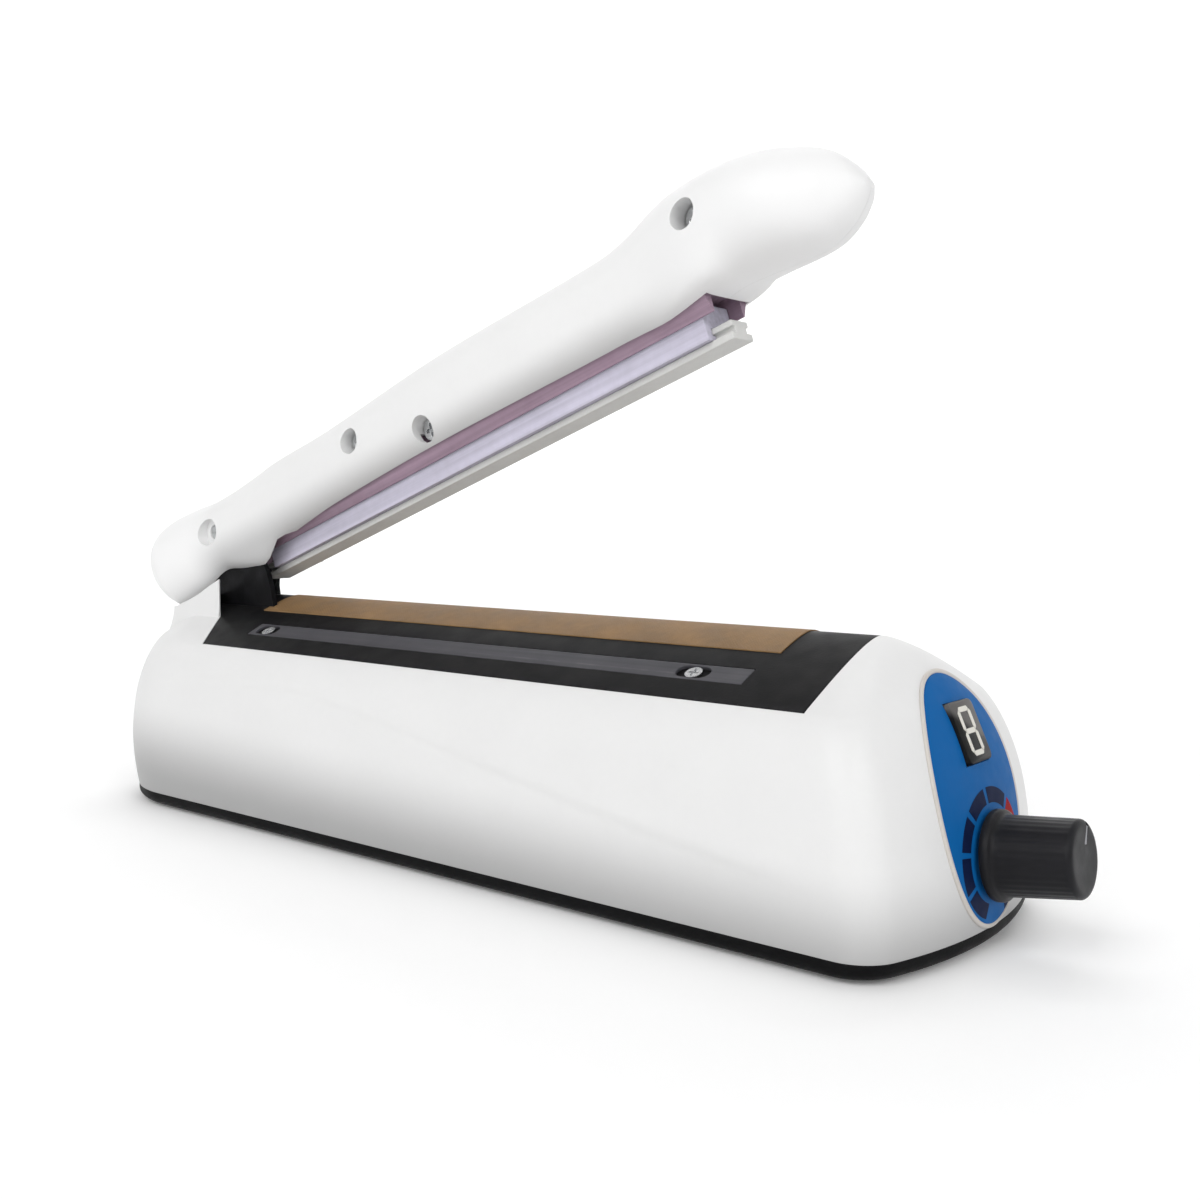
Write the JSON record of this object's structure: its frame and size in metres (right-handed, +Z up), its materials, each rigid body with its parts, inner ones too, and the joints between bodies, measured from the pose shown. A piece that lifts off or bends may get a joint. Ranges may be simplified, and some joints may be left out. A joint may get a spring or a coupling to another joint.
{
  "type": "impulse heat sealer",
  "caption": "Hand-operated impulse heat sealer with a raised press arm, a heated strip on a rounded white base, and a blue timer panel with a display and a knob.",
  "frame": {"origin": "under the middle of the sealing strip, which is also the middle of the overall box, on the plane that the rubber feet stand on", "axes": "+X along the sealing strip towards the control panel, +Z up, +Y to the side away from the picture's viewer"},
  "size_m": [0.3367, 0.0872, 0.1846],
  "materials": {
    "white_shell": "smooth white moulding with a soft gloss",
    "black_base": "black moulding, satin",
    "black_plate": "black heat-proof moulding, satin",
    "foot_rubber": "black rubber",
    "gland_rubber": "black rubber",
    "release_tape": "brown coated glass cloth",
    "underlay_cloth": "woven insulating cloth",
    "heating_alloy": "drawn resistance band",
    "clamp_grey": "dark grey anodised strip",
    "steel": "zinc plated",
    "brass": "machined brass",
    "panel_blue": "blue printed front foil",
    "display_black": "dark display window",
    "display_white": "off-white display bars",
    "knob_grey": "dark grey moulding, fine flutes",
    "board_green": "coated circuit board",
    "relay_blue": "moulded relay case",
    "connector_green": "moulded connector",
    "core_steel": "stacked laminations",
    "copper_coil": "enamelled copper winding",
    "switch_plastic": "moulded switch case",
    "plunger_plastic": "natural moulded plastic",
    "rail_mauve": "mauve anodised, brushed",
    "holder_lavender": "pale anodised, brushed",
    "silicone": "pale silicone rubber"
  },
  "bodies": {
    "base": {"base_pan": "black_base", "rubber_feet": "foot_rubber", "base_screws": "steel", "body_shell": "white_shell", "hinge_collar": "white_shell", "cord_gland": "gland_rubber", "top_plate": "black_plate", "plate_screws": "steel", "insulating_underlay": "underlay_cloth", "heating_band": "heating_alloy", "release_tape": "release_tape", "near_clamp_strip": "clamp_grey", "far_clamp_strip": "clamp_grey", "clamp_screws": "steel", "band_terminals": "brass", "terminal_screws": "steel", "control_panel": "panel_blue", "display_module": "display_black", "display_segments": "display_white", "potentiometer": "steel", "potentiometer_nut": "steel", "control_board": "board_green", "board_screws": "steel", "board_relay": "relay_blue", "board_connector": "connector_green", "transformer_core": "core_steel", "transformer_coil": "copper_coil", "transformer_bracket": "steel", "transformer_screws": "steel", "microswitch": "switch_plastic", "switch_bracket": "steel", "plunger_spring": "steel", "hinge_pin": "steel", "pin_clips": "steel", "return_spring": "steel"},
    "arm": {"arm_shell_near": "white_shell", "arm_shell_far": "white_shell", "arm_screws": "steel", "press_rail": "rail_mauve", "press_springs": "steel"},
    "press_bar": {"rubber_holder": "holder_lavender", "silicone_strip": "silicone"},
    "knob": {"control_knob": "knob_grey", "potentiometer_shaft": "steel"},
    "plunger": {"switch_plunger": "plunger_plastic"}
  },
  "joints": [
    {"name": "arm_hinge", "type": "hinge", "parent": "base", "child": "arm", "pos_m": [-0.1275, 0, 0.09], "axis": [0, 1, 0], "range_deg": [0, 19.2], "stiffness_Nm_per_rad": 0.6, "springref_deg": -34.38, "deforming": ["return_spring"]},
    {"name": "press_bar_float", "type": "slide", "parent": "arm", "child": "press_bar", "axis": [-0.3289, 0, 0.9444], "range_m": [0, 0.002], "stiffness_N_per_m": 2500, "springref_m": -0.002, "deforming": ["press_springs"]},
    {"name": "knob_turn", "type": "hinge", "parent": "base", "child": "knob", "pos_m": [0.14734, 0, 0.0213], "axis": [0.9925, 0, 0.1219], "range_deg": [-125, 175]},
    {"name": "switch_plunger_slide", "type": "slide", "parent": "base", "child": "plunger", "axis": [0, 0, -1], "range_m": [0, 0.0016], "stiffness_N_per_m": 300, "springref_m": -0.002, "deforming": ["plunger_spring"]}
  ],
  "couplings": [
    {"joint": "switch_plunger_slide", "follows": "arm_hinge", "m_per_rad": 0.00477}
  ]
}
